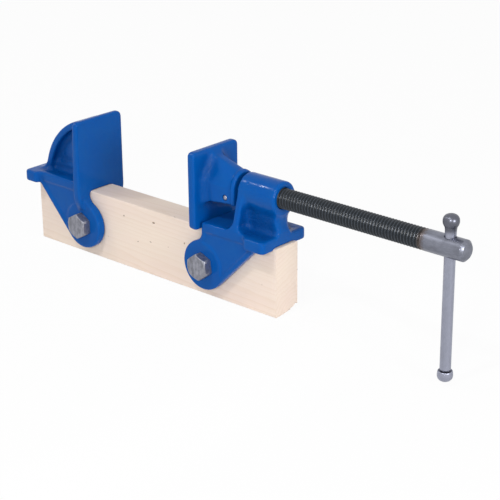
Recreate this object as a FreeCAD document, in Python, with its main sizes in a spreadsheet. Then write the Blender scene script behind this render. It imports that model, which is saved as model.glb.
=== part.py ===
import FreeCAD, Part
import math
import os
import Sketcher

# Bar clamp: two cast heads bolted to a timber bar, with a screw that drives a sliding jaw pad.
# Millimetres. The origin is the centre of the timber's underside, +X runs along the bar towards
# the screw's handle end, +Y goes to the far side and +Z is up.

DRIVING_SIZES = {
    # Timber bar
    "barLength": 267.5,
    "barHeight": 56.3,
    "barThickness": 25.0,
    "barEdgeBevel": 0.6,
    # Fit of the castings on the bar
    "cheekClearance": 0.5,
    "cheekThickness": 7.5,
    "cutMargin": 1.0,
    "baseThickness": 7.7,
    "fixedHeadInset": 64.1,
    "screwHeadInset": 2.0,
    # Cheeks and their bolt bosses
    "bossRadius": 20.5,
    "boltDrop": 28.3,
    "throatRadius": 9.0,
    "rimWidth": 3.5,
    "panelDepth": 1.0,
    "bossPadRadius": 18.6,
    "castRound": 1.2,
    "castFillet": 3.0,
    # Ears at the rear of each head
    "earWidth": 51.0,
    "earDrop": 1.8,
    "earCorner": 4.0,
    # Fixed head
    "fixedHeadLength": 68.6,
    "fixedEarLength": 15.6,
    "fixedBoltSetback": 4.1,
    "fixedCheekReach": 57.6,
    "jawWidth": 51.6,
    "jawHeight": 61.5,
    "jawTopThickness": 5.2,
    "jawFootThickness": 7.6,
    "jawCorner": 5.0,
    "jawEdgeRound": 1.5,
    "shoulderDrop": 1.5,
    "shoulderFall": 14.0,
    "buttressRadius": 60.4,
    "buttressThickness": 5.6,
    "buttressWidth": 24.0,
    "buttressCentreReach": 4.0,
    "buttressFootRadius": 12.0,
    "fixedWebThickness": 9.0,
    "ledgeThickness": 13.0,
    "ledgeHeight": 15.0,
    # Screw head
    "screwHeadLength": 68.0,
    "screwEarLength": 21.5,
    "screwBoltSetback": 0.8,
    "screwCheekReach": 58.0,
    "wallSetback": 31.6,
    "wallThickness": 5.6,
    "wallFillet": 8.0,
    "barrelRadius": 13.0,
    "barrelEndRound": 2.2,
    "screwWebThickness": 9.0,
    "webHollow": 3.0,
    "screwRise": 37.1,
    "screwMouthRadius": 9.2,
    # Jaw pad
    "padGap": 1.7,
    "hubGap": 3.8,
    "padWidth": 50.9,
    "padThickness": 7.0,
    "padHeight": 62.8,
    "padGroundClearance": 0.7,
    "padCorner": 4.0,
    "padEdgeRound": 1.6,
    "hubHalfWidth": 12.0,
    "hubCrownHalfWidth": 3.0,
    "hubFootHalfWidth": 15.8,
    "hubFootDrop": 13.6,
    "hubFootShoulder": 3.0,
    "hubRidgeHalfWidth": 3.6,
    "hubRidgeRise": 22.0,
    "pinDiameter": 4.0,
    "pinDrop": 7.5,
    "pinInset": 9.2,
    # Screw
    "screwDiameter": 16.0,
    "screwClearance": 0.08,
    "noseDiameter": 14.0,
    "noseDepth": 20.0,
    "noseEndGap": 0.2,
    "noseBevel": 1.0,
    "shoulderGap": 1.0,
    "grooveFloorRadius": 5.2,
    "grooveWidth": 4.5,
    "screwReach": 164.5,
    "screwEndBevel": 1.8,
    "crossHoleInset": 14.6,
    # Tommy bar
    "tommyDiameter": 8.2,
    "tommyClearance": 0.15,
    "tommyAbove": 24.0,
    "tommyBelow": 102.8,
    "knobDiameter": 12.0,
    "knobHeight": 11.2,
    "capDiameter": 11.6,
    "capHeight": 8.5,
    "capSocketDepth": 6.0,
    "spigotDiameter": 6.4,
    "endRound": 2.4,
    # Bolts and nuts
    "boltDiameter": 12.0,
    "boltHoleClearance": 0.4,
    "hexAcrossFlats": 19.0,
    "boltHeadHeight": 7.5,
    "nutHeight": 10.8,
    "boltEndBeyondNut": 3.0,
    "boltEndBevel": 1.2,
    "hexBevelDrop": 1.3,
    "screwBoltTurn": 8.0,
}

document = FreeCAD.newDocument("bar_clamp")
sheet = document.addObject("Spreadsheet::Sheet", "Sizes")
for row, (alias, number) in enumerate(DRIVING_SIZES.items(), 1):
    sheet.set(f"A{row}", alias)
    sheet.set(f"B{row}", str(number))
    sheet.setAlias(f"B{row}", alias)
document.recompute()


class Size:
    """A formula of sheet values, kept as text for setExpression, with its present number."""

    def __init__(self, text, number):
        self.text = text
        self.number = float(number)

    def __add__(self, other):
        other = asSize(other)
        return Size(f"({self.text} + {other.text})", self.number + other.number)

    def __sub__(self, other):
        other = asSize(other)
        return Size(f"({self.text} - {other.text})", self.number - other.number)

    def __mul__(self, other):
        other = asSize(other)
        return Size(f"({self.text} * {other.text})", self.number * other.number)

    def __truediv__(self, other):
        other = asSize(other)
        return Size(f"({self.text} / {other.text})", self.number / other.number)

    def __neg__(self):
        return Size(f"(0 - {self.text})", -self.number)


def asSize(value):
    return value if isinstance(value, Size) else Size(repr(float(value)), value)


def named(alias):
    return Size(f"Sizes.{alias}", sheet.get(alias))


def root(size):
    return Size(f"sqrt({size.text})", math.sqrt(size.number))


ZERO = Size("0", 0)


# Drawing helpers

def newBody(label):
    body = document.addObject("PartDesign::Body", label)
    body.Label = label
    return body


def place(body, x, y, z):
    for letter, size in zip("xyz", (x, y, z)):
        body.setExpression(f"Placement.Base.{letter}", asSize(size).text)


def originFeature(body, role):
    return next(item for item in body.Origin.OriginFeatures if item.Role == role)


def newSketch(body, plane, offset=ZERO):
    sketch = body.newObject("Sketcher::SketchObject", "Outline")
    sketch.AttachmentSupport = [(originFeature(body, plane), "")]
    sketch.MapMode = "FlatFace"
    sketch.setExpression("AttachmentOffset.Base.z", offset.text)
    return sketch


def bind(sketch, constraint, size):
    index = sketch.addConstraint(constraint)
    sketch.setExpression(f"Constraints[{index}]", size.text)


def pinPoint(sketch, element, end, x, y):
    bind(sketch, Sketcher.Constraint("DistanceX", -1, 1, element, end, x.number), x)
    bind(sketch, Sketcher.Constraint("DistanceY", -1, 1, element, end, y.number), y)


def line(x, y):
    return {"x": asSize(x), "y": asSize(y)}


def arc(x, y, radius, centreX, centreY, turn):
    """An arc to (x, y); turn is 1 for counterclockwise and -1 for clockwise."""
    corner = line(x, y)
    corner.update(radius=asSize(radius), centre=(asSize(centreX), asSize(centreY)), turn=turn)
    return corner


def drawLoop(sketch, corners):
    """Closed outline: each corner is the end of a line or an arc from the corner before it."""
    first = len(sketch.Geometry)
    for index, corner in enumerate(corners):
        before = corners[index - 1]
        start = FreeCAD.Vector(before["x"].number, before["y"].number, 0)
        end = FreeCAD.Vector(corner["x"].number, corner["y"].number, 0)
        if "radius" in corner:
            centre = FreeCAD.Vector(corner["centre"][0].number, corner["centre"][1].number, 0)
            circle = Part.Circle(centre, FreeCAD.Vector(0, 0, 1), corner["radius"].number)
            angles = [math.atan2(p.y - centre.y, p.x - centre.x) for p in (start, end)]
            if corner["turn"] < 0:
                angles.reverse()
            if angles[1] < angles[0]:
                angles[1] += 2 * math.pi
            sketch.addGeometry(Part.ArcOfCircle(circle, angles[0], angles[1]), False)
        else:
            sketch.addGeometry(Part.LineSegment(start, end), False)
    count = len(corners)
    for index, corner in enumerate(corners):
        after = (index + 1) % count
        endSide = 1 if corner.get("turn") == -1 else 2
        startSide = 2 if corners[after].get("turn") == -1 else 1
        sketch.addConstraint(
            Sketcher.Constraint("Coincident", first + index, endSide, first + after, startSide))
        pinPoint(sketch, first + index, endSide, corner["x"], corner["y"])
        if "radius" in corner:
            bind(sketch, Sketcher.Constraint("Radius", first + index, corner["radius"].number),
                 corner["radius"])


def drawCircle(sketch, x, y, radius):
    x, y, radius = asSize(x), asSize(y), asSize(radius)
    centre = FreeCAD.Vector(x.number, y.number, 0)
    index = sketch.addGeometry(Part.Circle(centre, FreeCAD.Vector(0, 0, 1), radius.number), False)
    pinPoint(sketch, index, 3, x, y)
    bind(sketch, Sketcher.Constraint("Radius", index, radius.number), radius)


def boxLoop(low, high):
    return [line(low[0], low[1]), line(high[0], low[1]), line(high[0], high[1]),
            line(low[0], high[1])]


def roundedBoxLoop(low, high, radius):
    """Rectangle with four rounded corners."""
    left, bottom = asSize(low[0]), asSize(low[1])
    right, top = asSize(high[0]), asSize(high[1])
    return [
        line(right - radius, bottom),
        arc(right, bottom + radius, radius, right - radius, bottom + radius, 1),
        line(right, top - radius),
        arc(right - radius, top, radius, right - radius, top - radius, 1),
        line(left + radius, top),
        arc(left, top - radius, radius, left + radius, top - radius, 1),
        line(left, bottom + radius),
        arc(left + radius, bottom, radius, left + radius, bottom + radius, 1),
    ]


def pad(body, sketch, length, symmetric=False, reverse=False):
    feature = body.newObject("PartDesign::Pad", "Pad")
    feature.Profile = sketch
    feature.SideType = "Symmetric" if symmetric else "One side"
    feature.Reversed = reverse
    feature.setExpression("Length", asSize(length).text)
    document.recompute()
    return feature


def pocket(body, sketch, length=None, symmetric=False, reverse=False):
    """A cut of a given length, or right through where no length is given."""
    volumeBefore = body.Shape.Volume
    feature = body.newObject("PartDesign::Pocket", "Pocket")
    feature.Profile = sketch
    feature.SideType = "Symmetric" if symmetric else "One side"
    feature.Reversed = reverse
    if length is None:
        feature.Type = "ThroughAll"
    else:
        feature.setExpression("Length", asSize(length).text)
    document.recompute()
    if body.Shape.Volume > volumeBefore - 1e-3:
        raise RuntimeError(f"{body.Label}: a cut removed nothing")
    return feature


def turned(body, sketch, axis, groove=False):
    feature = body.newObject("PartDesign::Groove" if groove else "PartDesign::Revolution", "Turned")
    feature.Profile = sketch
    feature.ReferenceAxis = (originFeature(body, axis), [""])
    feature.Angle = 360
    document.recompute()
    return feature


def join(body, piece):
    """Fuse another body, drawn in this one's local frame and not placed, into it."""
    feature = body.newObject("PartDesign::Boolean", "Joined")
    feature.Type = "Fuse"
    feature.setObjects([piece])
    body.Tip = feature
    document.recompute()
    return feature


def mirrored(body, features, plane):
    feature = body.newObject("PartDesign::Mirrored", "Mirrored")
    feature.Originals = features
    feature.MirrorPlane = (originFeature(body, plane), [""])
    body.Tip = feature
    document.recompute()
    return feature


def roundEdges(body, radius, choose, kind="PartDesign::Fillet"):
    """Round, or bevel, each edge of the body's present shape that choose() accepts."""
    support = body.Tip
    names = [f"Edge{i}" for i, edge in enumerate(support.Shape.Edges, 1) if choose(edge)]
    if not names:
        raise RuntimeError(f"{body.Label}: no edge to round")
    feature = body.newObject(kind, "Rounded")
    feature.Base = (support, names)
    feature.setExpression("Radius" if kind.endswith("Fillet") else "Size", asSize(radius).text)
    body.Tip = feature
    document.recompute()
    return feature


def middle(edge):
    first, last = edge.ParameterRange
    return edge.valueAt((first + last) / 2)


def near(a, b, tolerance=0.02):
    return abs(a - b) < tolerance


def below(a, b, tolerance=0.02):
    return a < b - tolerance


def liesAt(edge, x=None, side=None, z=None):
    """True where an edge's middle has the given X, distance from the mid-plane or Z."""
    point = middle(edge)
    wanted = ((point.x, x), (abs(point.y), side), (point.z, z))
    return all(size is None or near(value, asSize(size).number) for value, size in wanted)


def isCircle(edge, radius):
    return isinstance(edge.Curve, Part.Circle) and near(edge.Curve.Radius, asSize(radius).number)


def runsAlong(edge, letter):
    """True where a straight edge runs along one axis."""
    box = edge.BoundBox
    spans = {"x": box.XLength, "y": box.YLength, "z": box.ZLength}
    own = spans.pop(letter)
    return own > 0.5 and max(spans.values()) < 0.01


# Sizes that several pieces share

cheekInside = named("barThickness") / 2 + named("cheekClearance")
cheekOutside = cheekInside + named("cheekThickness")
baseTop = named("baseThickness")
boltHoleRadius = named("boltDiameter") / 2 + named("boltHoleClearance")
bossRadius = named("bossRadius")
boltDrop = named("boltDrop")
throatRadius = named("throatRadius")

fixedHeadX = named("fixedHeadInset") - named("barLength") / 2
fixedBoltX = fixedHeadX - named("fixedBoltSetback")
screwHeadX = named("barLength") / 2 - named("screwHeadInset") - named("screwHeadLength")
screwBoltX = screwHeadX + named("screwBoltSetback")
boltZ = named("barHeight") - boltDrop
screwZ = named("barHeight") + named("screwRise")
padFaceX = screwHeadX - named("padGap") - named("padThickness")
hubRearX = screwHeadX + named("wallSetback") - named("hubGap")
hubLength = hubRearX - padFaceX - named("padThickness")
pinX = hubRearX - named("pinInset")
noseTipX = hubRearX - named("noseDepth") + named("noseEndGap")
screwEndX = screwHeadX + named("screwHeadLength") + named("screwReach")
crossHoleX = screwEndX - named("crossHoleInset")


# Cheeks: the outline that both heads share, seen from the side

def cheekGeometry(side, boltX, reach):
    """Points of the cheek's outline, whose throat starts at X = 0 under the base plate.

    side is 1 where the head runs towards +X from its throat, and -1 towards -X.
    """
    throatCentreX = throatRadius * -side
    along = throatCentreX - boltX
    link = throatRadius + bossRadius
    drop = root(link * link - along * along)
    throatCentre = (throatCentreX, drop - boltDrop)
    joinX = boltX + along * bossRadius / link
    joinZ = -boltDrop + drop * bossRadius / link
    farX = reach - boltX
    far = root(farX * farX + boltDrop * boltDrop)
    sine = bossRadius / far
    cosine = root(asSize(1) - sine * sine)
    runX = (farX * cosine - boltDrop * sine * side) / far
    runZ = (boltDrop * cosine + farX * sine * side) / far
    normalX = runZ * side
    normalZ = -runX * side
    return {
        "throatCentre": throatCentre, "join": (joinX, joinZ), "link": link,
        "along": along, "drop": drop, "run": (runX, runZ), "normal": (normalX, normalZ),
    }


def cheekLoop(side, boltX, reach, rearX):
    """Side view of a head's base plate and cheeks as one closed outline."""
    g = cheekGeometry(side, boltX, reach)
    tangentX = boltX + g["normal"][0] * bossRadius
    tangentZ = g["normal"][1] * bossRadius - boltDrop
    return [
        line(ZERO, baseTop),
        line(ZERO, g["throatCentre"][1]),
        arc(g["join"][0], g["join"][1], throatRadius, *g["throatCentre"], -side),
        arc(boltX, -boltDrop - bossRadius, bossRadius, boltX, -boltDrop, side),
        arc(tangentX, tangentZ, bossRadius, boltX, -boltDrop, side),
        line(reach, ZERO),
        line(rearX, ZERO),
        line(rearX, baseTop),
    ]


def panelLoop(side, boltX, reach):
    """Sunk panel inside the cheek's rim, ending at the raised pad round the bolt."""
    g = cheekGeometry(side, boltX, reach)
    rim = named("rimWidth")
    padRadius = named("bossPadRadius")
    innerThroat = throatRadius + rim
    inner = bossRadius - rim
    reachAlong = root(padRadius * padRadius - inner * inner)
    lineX = boltX + g["normal"][0] * inner + g["run"][0] * reachAlong
    lineZ = -boltDrop + g["normal"][1] * inner + g["run"][1] * reachAlong
    topZ = baseTop / 2 - rim
    climb = (topZ - lineZ) / g["run"][1]
    topX = lineX + g["run"][0] * climb
    link = g["link"]
    foot = (link * link + padRadius * padRadius - innerThroat * innerThroat) / (link * 2)
    height = root(padRadius * padRadius - foot * foot)
    towardX = g["along"] / link
    towardZ = g["drop"] / link
    meetX = boltX + towardX * foot + towardZ * height * side
    meetZ = -boltDrop + towardZ * foot - towardX * height * side
    frontX = rim * side
    return [
        line(frontX, topZ),
        line(frontX, g["throatCentre"][1]),
        arc(meetX, meetZ, innerThroat, *g["throatCentre"], -side),
        arc(lineX, lineZ, padRadius, boltX, -boltDrop, -side),
        line(topX, topZ),
    ]


def addYoke(body, side, boltX, reach, rearX):
    """Base plate and cheeks in one casting, with rounded outer edges below the base."""
    sketch = newSketch(body, "XZ_Plane")
    drawLoop(sketch, cheekLoop(side, boltX, reach, rearX))
    pad(body, sketch, cheekOutside * 2, symmetric=True)
    roundEdges(body, named("castRound"),
               lambda edge: liesAt(edge, side=cheekOutside) and below(middle(edge).z, 0))


def addEars(body, side, rearX, length):
    """Wide ears at the rear of the base plate, with rounded corners."""
    half = named("earWidth") / 2
    corner = named("earCorner")
    frontX = rearX - length * side
    sketch = newSketch(body, "XY_Plane", -named("earDrop"))
    low, high = (rearX, frontX) if side < 0 else (frontX, rearX)
    drawLoop(sketch, roundedBoxLoop((low, -half), (high, half), corner))
    pad(body, sketch, baseTop + named("earDrop"))
    for z in (baseTop, -named("earDrop")):
        roundEdges(body, named("castRound"), lambda edge: liesAt(edge, z=z)
                   and below(cheekOutside.number, abs(middle(edge).y)))


def cutForBar(body):
    """Slot between the cheeks that straddles the timber."""
    depth = boltDrop + bossRadius + named("cutMargin")
    sketch = newSketch(body, "YZ_Plane")
    drawLoop(sketch, boxLoop((-cheekInside, -depth), (cheekInside, ZERO)))
    pocket(body, sketch, symmetric=True)


def cutBoltHole(body, boltX):
    sketch = newSketch(body, "XZ_Plane")
    drawCircle(sketch, boltX, -boltDrop, boltHoleRadius)
    pocket(body, sketch, symmetric=True)


def cutPanels(body, side, boltX, reach):
    sketch = newSketch(body, "XZ_Plane", cheekOutside)
    drawLoop(sketch, panelLoop(side, boltX, reach))
    panel = pocket(body, sketch, named("panelDepth"))
    mirrored(body, [panel], "XZ_Plane")


# Timber bar

def makeTimberBar():
    body = newBody("timber_bar")
    half = named("barLength") / 2
    height = named("barHeight")
    sketch = newSketch(body, "XZ_Plane")
    drawLoop(sketch, boxLoop((-half, ZERO), (half, height)))
    pad(body, sketch, named("barThickness"), symmetric=True)
    for boltX in (fixedBoltX, screwBoltX):
        sketch = newSketch(body, "XZ_Plane")
        drawCircle(sketch, boltX, boltZ, boltHoleRadius)
        pocket(body, sketch, symmetric=True)
    roundEdges(body, named("barEdgeBevel"), lambda edge: runsAlong(edge, "x"), "PartDesign::Chamfer")
    return body


# Fixed head: local origin on the jaw face at the bar's top, running back towards -X

def makeFixedHead():
    body = newBody("fixed_head")
    place(body, fixedHeadX, 0, named("barHeight"))
    boltX = -named("fixedBoltSetback")
    reach = -named("fixedCheekReach")
    rearX = -named("fixedHeadLength")
    addYoke(body, -1, boltX, reach, rearX)
    addEars(body, -1, rearX, named("fixedEarLength"))
    cutPanels(body, -1, boltX, reach)
    join(body, makeJawPlate())
    join(body, makeButtress())
    addFixedWeb(body)
    cutForBar(body)
    cutBoltHole(body, boltX)
    return body


def makeJawPlate():
    """Jaw plate with rounded top corners, narrowed into the cheeks and tapered behind."""
    body = newBody("jaw_plate")
    half = named("jawWidth") / 2
    top = named("jawHeight")
    corner = named("jawCorner")
    foot = named("jawFootThickness")
    thin = named("jawTopThickness")
    flare = half - cheekOutside
    high = -named("shoulderDrop")
    fall = named("shoulderFall")
    low = high - fall
    radius = (fall * fall + flare * flare) / (flare * 2)
    sketch = newSketch(body, "YZ_Plane")
    drawLoop(sketch, [
        line(cheekOutside, low),
        arc(half, high, radius, half - radius, high, 1),
        line(half, top - corner),
        arc(half - corner, top, corner, half - corner, top - corner, 1),
        line(corner - half, top),
        arc(-half, top - corner, corner, corner - half, top - corner, 1),
        line(-half, high),
        arc(-cheekOutside, low, radius, radius - half, high, 1),
    ])
    pad(body, sketch, foot, reverse=True)
    sketch = newSketch(body, "XZ_Plane")
    beyond = foot + named("cutMargin")
    above = top + named("cutMargin")
    drawLoop(sketch, [
        line(-thin, above),
        line(-foot, baseTop),
        line(-beyond, baseTop),
        line(-beyond, above),
    ])
    pocket(body, sketch, symmetric=True)
    roundEdges(body, named("jawEdgeRound"),
               lambda edge: liesAt(edge, x=ZERO) and below(low.number, middle(edge).z))
    roundEdges(body, named("castRound"),
               lambda edge: not runsAlong(edge, "x") and below(baseTop.number, middle(edge).z)
               and below(-foot.number, middle(edge).x) and below(middle(edge).x, -thin.number / 2))
    return body


def makeButtress():
    """Curved flange that backs the jaw plate and sweeps out into the base plate."""
    body = newBody("buttress")
    outer = named("buttressRadius")
    inner = outer - named("buttressThickness")
    centreX = named("buttressCentreReach")
    foot = named("buttressFootRadius")
    startX = -named("jawTopThickness") / 2
    depth = baseTop / 2
    lift = baseTop + foot
    link = outer + foot
    footX = centreX - root(link * link - lift * lift)
    touchX = centreX + (footX - centreX) * outer / link
    touchZ = lift * outer / link
    outerTop = root(outer * outer - (centreX - startX) * (centreX - startX))
    innerTop = root(inner * inner - (centreX - startX) * (centreX - startX))
    innerFootX = centreX - root(inner * inner - depth * depth)
    sketch = newSketch(body, "XZ_Plane")
    drawLoop(sketch, [
        line(startX, outerTop),
        arc(touchX, touchZ, outer, centreX, ZERO, 1),
        arc(footX, baseTop, foot, footX, lift, -1),
        line(footX, depth),
        line(innerFootX, depth),
        arc(startX, innerTop, inner, centreX, ZERO, -1),
    ])
    pad(body, sketch, named("buttressWidth"), symmetric=True)
    roundEdges(body, named("castRound"), lambda edge: liesAt(edge, side=named("buttressWidth") / 2)
               and below(depth.number, middle(edge).z))
    return body


def addFixedWeb(body):
    """Central web inside the buttress, thicker below its ledge."""
    inner = named("buttressRadius") - named("buttressThickness")
    centreX = named("buttressCentreReach")
    startX = -named("jawTopThickness") / 2
    depth = baseTop / 2
    webRadius = inner + named("buttressThickness") / 2
    webTop = root(webRadius * webRadius - (centreX - startX) * (centreX - startX))
    webFootX = centreX - root(webRadius * webRadius - depth * depth)
    sketch = newSketch(body, "XZ_Plane")
    drawLoop(sketch, [
        line(startX, webTop),
        arc(webFootX, depth, webRadius, centreX, ZERO, 1),
        line(startX, depth),
    ])
    pad(body, sketch, named("fixedWebThickness"), symmetric=True)

    ledge = named("ledgeHeight")
    ledgeX = centreX - root(webRadius * webRadius - ledge * ledge)
    sketch = newSketch(body, "XZ_Plane")
    drawLoop(sketch, [
        line(startX, ledge),
        line(ledgeX, ledge),
        arc(webFootX, depth, webRadius, centreX, ZERO, 1),
        line(startX, depth),
    ])
    pad(body, sketch, named("ledgeThickness"), symmetric=True)
    roundEdges(body, named("castRound"),
               lambda edge: liesAt(edge, side=named("ledgeThickness") / 2, z=named("ledgeHeight")))
    roundEdges(body, named("castFillet"),
               lambda edge: liesAt(edge, side=named("ledgeThickness") / 2, z=baseTop))


# Screw head: local origin at the platform's front edge on the bar's top, running towards +X

def makeScrewHead():
    body = newBody("screw_head")
    place(body, screwHeadX, 0, named("barHeight"))
    boltX = named("screwBoltSetback")
    reach = named("screwCheekReach")
    rearX = named("screwHeadLength")
    axisZ = named("screwRise")
    wallX = named("wallSetback")
    barrel = named("barrelRadius")

    addYoke(body, 1, boltX, reach, rearX)
    addEars(body, 1, rearX, named("screwEarLength"))

    sketch = newSketch(body, "YZ_Plane", wallX)
    drawLoop(sketch, [
        line(cheekOutside, baseTop / 2),
        line(cheekOutside, baseTop),
        line(barrel, axisZ),
        arc(ZERO, axisZ + barrel, barrel, ZERO, axisZ, 1),
        arc(-barrel, axisZ, barrel, ZERO, axisZ, 1),
        line(-cheekOutside, baseTop),
        line(-cheekOutside, baseTop / 2),
    ])
    pad(body, sketch, named("wallThickness"))

    sketch = newSketch(body, "XZ_Plane")
    hollow = named("webHollow")
    webTop = axisZ - barrel / 2
    rise = (webTop - baseTop) / 2
    webEndX = rearX - hollow
    bulge = (rise * rise + hollow * hollow) / (hollow * 2)
    drawLoop(sketch, [
        line(wallX, baseTop / 2),
        line(rearX, baseTop / 2),
        line(rearX, baseTop),
        arc(rearX, webTop, bulge, webEndX + bulge, baseTop + rise, -1),
        line(wallX, webTop),
    ])
    pad(body, sketch, named("screwWebThickness"), symmetric=True)

    sketch = newSketch(body, "YZ_Plane", wallX)
    drawCircle(sketch, ZERO, axisZ, barrel)
    pad(body, sketch, rearX - wallX)

    wallRearX = wallX + named("wallThickness")
    webSide = named("screwWebThickness") / 2
    roundEdges(body, named("wallFillet"), lambda edge: liesAt(edge, x=wallX, z=baseTop))
    roundEdges(body, named("barrelEndRound"),
               lambda edge: liesAt(edge, x=rearX) and isCircle(edge, barrel))
    roundEdges(body, named("castFillet"),
               lambda edge: (liesAt(edge, x=wallRearX, z=baseTop) and not liesAt(edge, side=ZERO))
               or (liesAt(edge, x=wallRearX, side=webSide) and below(baseTop.number, middle(edge).z)))
    roundEdges(body, named("castRound"), lambda edge: liesAt(edge, x=ZERO, z=baseTop))

    cutForBar(body)
    cutPanels(body, 1, boltX, reach)
    cutBoltHole(body, boltX)

    boreRadius = named("screwDiameter") / 2 + named("screwClearance")
    sketch = newSketch(body, "YZ_Plane")
    drawCircle(sketch, ZERO, axisZ, boreRadius)
    pocket(body, sketch, symmetric=True)
    roundEdges(body, named("screwMouthRadius") - boreRadius,
               lambda edge: liesAt(edge, x=rearX) and isCircle(edge, boreRadius),
               "PartDesign::Chamfer")
    return body


# Jaw pad: local origin on the clamping face at the screw's axis, hub towards +X

def makeJawPad():
    body = newBody("jaw_pad")
    place(body, padFaceX, 0, screwZ)
    half = named("padWidth") / 2
    bottom = named("padGroundClearance") - named("screwRise")
    thickness = named("padThickness")
    sketch = newSketch(body, "YZ_Plane")
    drawLoop(sketch, roundedBoxLoop((-half, bottom), (half, bottom + named("padHeight")),
                                    named("padCorner")))
    pad(body, sketch, thickness)
    roundEdges(body, named("padEdgeRound"), lambda edge: liesAt(edge, x=ZERO))
    roundEdges(body, named("castRound"), lambda edge: liesAt(edge, x=thickness))

    footHalf = named("hubFootHalfWidth")
    ridge = named("hubRidgeHalfWidth")
    frontSection = newSketch(body, "YZ_Plane", thickness - named("cutMargin"))
    drawLoop(frontSection, [
        line(-footHalf, -named("hubFootDrop")),
        line(footHalf, -named("hubFootDrop")),
        line(footHalf, named("hubFootShoulder")),
        line(ridge, named("hubRidgeRise")),
        line(-ridge, named("hubRidgeRise")),
        line(-footHalf, named("hubFootShoulder")),
    ])
    hub = named("hubHalfWidth")
    slim = named("hubCrownHalfWidth")
    crown = root(hub * hub - slim * slim)
    rearX = thickness + hubLength
    rearSection = newSketch(body, "YZ_Plane", rearX)
    drawLoop(rearSection, [
        line(-hub, -hub),
        line(hub, -hub),
        line(hub, ZERO),
        arc(slim, crown, hub, ZERO, ZERO, 1),
        arc(-slim, crown, hub, ZERO, ZERO, 1),
        arc(-hub, ZERO, hub, ZERO, ZERO, 1),
    ])
    loft = body.newObject("PartDesign::AdditiveLoft", "Hub")
    loft.Profile = frontSection
    loft.Sections = [rearSection]
    loft.Ruled = True
    document.recompute()
    roundEdges(body, named("castRound"), lambda edge: liesAt(edge, x=rearX))

    sketch = newSketch(body, "YZ_Plane", rearX)
    drawCircle(sketch, ZERO, ZERO, named("noseDiameter") / 2 + named("screwClearance"))
    pocket(body, sketch, named("noseDepth"))
    sketch = newSketch(body, "XZ_Plane")
    drawCircle(sketch, pinX - padFaceX, -named("pinDrop"), named("pinDiameter") / 2)
    pocket(body, sketch, symmetric=True)
    return body


def makeRetainingPin():
    """Cross pin that lies in the groove of the screw's nose, flush with the hub's sides."""
    body = newBody("pad_retaining_pin")
    place(body, pinX, 0, screwZ - named("pinDrop"))
    sketch = newSketch(body, "XZ_Plane")
    drawCircle(sketch, ZERO, ZERO, named("pinDiameter") / 2)
    share = (hubLength - named("pinInset")) / hubLength
    half = named("hubFootHalfWidth") + (named("hubHalfWidth") - named("hubFootHalfWidth")) * share
    pad(body, sketch, half * 2, symmetric=True)
    return body


# Clamp screw: local origin on the axis at the nose's tip, running towards +X

def makeClampScrew():
    body = newBody("clamp_screw")
    place(body, noseTipX, 0, screwZ)
    nose = named("noseDiameter") / 2
    major = named("screwDiameter") / 2
    shoulderX = hubRearX - noseTipX + named("shoulderGap")
    noseBevel = named("noseBevel")
    grooveX = pinX - noseTipX - named("grooveWidth") / 2
    grooveEndX = grooveX + named("grooveWidth")
    floor = named("grooveFloorRadius")
    endX = screwEndX - noseTipX
    bevel = named("screwEndBevel")
    sketch = newSketch(body, "XZ_Plane")
    drawLoop(sketch, [
        line(ZERO, ZERO),
        line(ZERO, nose - noseBevel),
        line(noseBevel, nose),
        line(grooveX, nose),
        line(grooveX, floor),
        line(grooveEndX, floor),
        line(grooveEndX, nose),
        line(shoulderX, nose),
        line(shoulderX + major - nose, major),
        line(endX - bevel, major),
        line(endX, major - bevel),
        line(endX, ZERO),
    ])
    turned(body, sketch, "X_Axis")
    sketch = newSketch(body, "XY_Plane")
    holeRadius = named("tommyDiameter") / 2 + named("tommyClearance")
    drawCircle(sketch, crossHoleX - noseTipX, ZERO, holeRadius)
    pocket(body, sketch, symmetric=True)
    return body


# Tommy bar: local origin on its own axis at the screw's axis, standing along +Z

def makeTommyBar():
    body = newBody("tommy_bar")
    place(body, crossHoleX, 0, screwZ)
    rod = named("tommyDiameter") / 2
    knob = named("knobDiameter") / 2
    top = named("tommyAbove")
    knobFoot = top - named("knobHeight")
    bend = named("endRound")
    seatZ = named("capHeight") - named("tommyBelow")
    spigot = named("spigotDiameter") / 2
    tipZ = seatZ - named("capSocketDepth")
    sketch = newSketch(body, "XZ_Plane")
    drawLoop(sketch, [
        line(ZERO, tipZ),
        line(spigot, tipZ),
        line(spigot, seatZ),
        line(rod, seatZ),
        line(rod, knobFoot),
        line(knob - bend, knobFoot),
        arc(knob, knobFoot + bend, bend, knob - bend, knobFoot + bend, 1),
        line(knob, top - bend),
        arc(knob - bend, top, bend, knob - bend, top - bend, 1),
        line(ZERO, top),
    ])
    turned(body, sketch, "Z_Axis")
    return body


def makeTommyCap():
    body = newBody("tommy_bar_cap")
    place(body, crossHoleX, 0, screwZ - named("tommyBelow"))
    radius = named("capDiameter") / 2
    height = named("capHeight")
    spigot = named("spigotDiameter") / 2
    floor = height - named("capSocketDepth")
    bend = named("endRound")
    sketch = newSketch(body, "XZ_Plane")
    drawLoop(sketch, [
        line(ZERO, ZERO),
        line(radius - bend, ZERO),
        arc(radius, bend, bend, radius - bend, bend, 1),
        line(radius, height - bend / 2),
        arc(radius - bend / 2, height, bend / 2, radius - bend / 2, height - bend / 2, 1),
        line(spigot, height),
        line(spigot, floor),
        line(ZERO, floor),
    ])
    turned(body, sketch, "Z_Axis")
    return body


# Bolts and nuts: local Z is the bolt's axis, turned to point along +Y

def hexLoop():
    flat = named("hexAcrossFlats") / 2
    corner = flat * 2 / root(asSize(3))
    half = corner / 2
    return [line(ZERO, corner), line(-flat, half), line(-flat, -half), line(ZERO, -corner),
            line(flat, -half), line(flat, half)]


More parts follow.
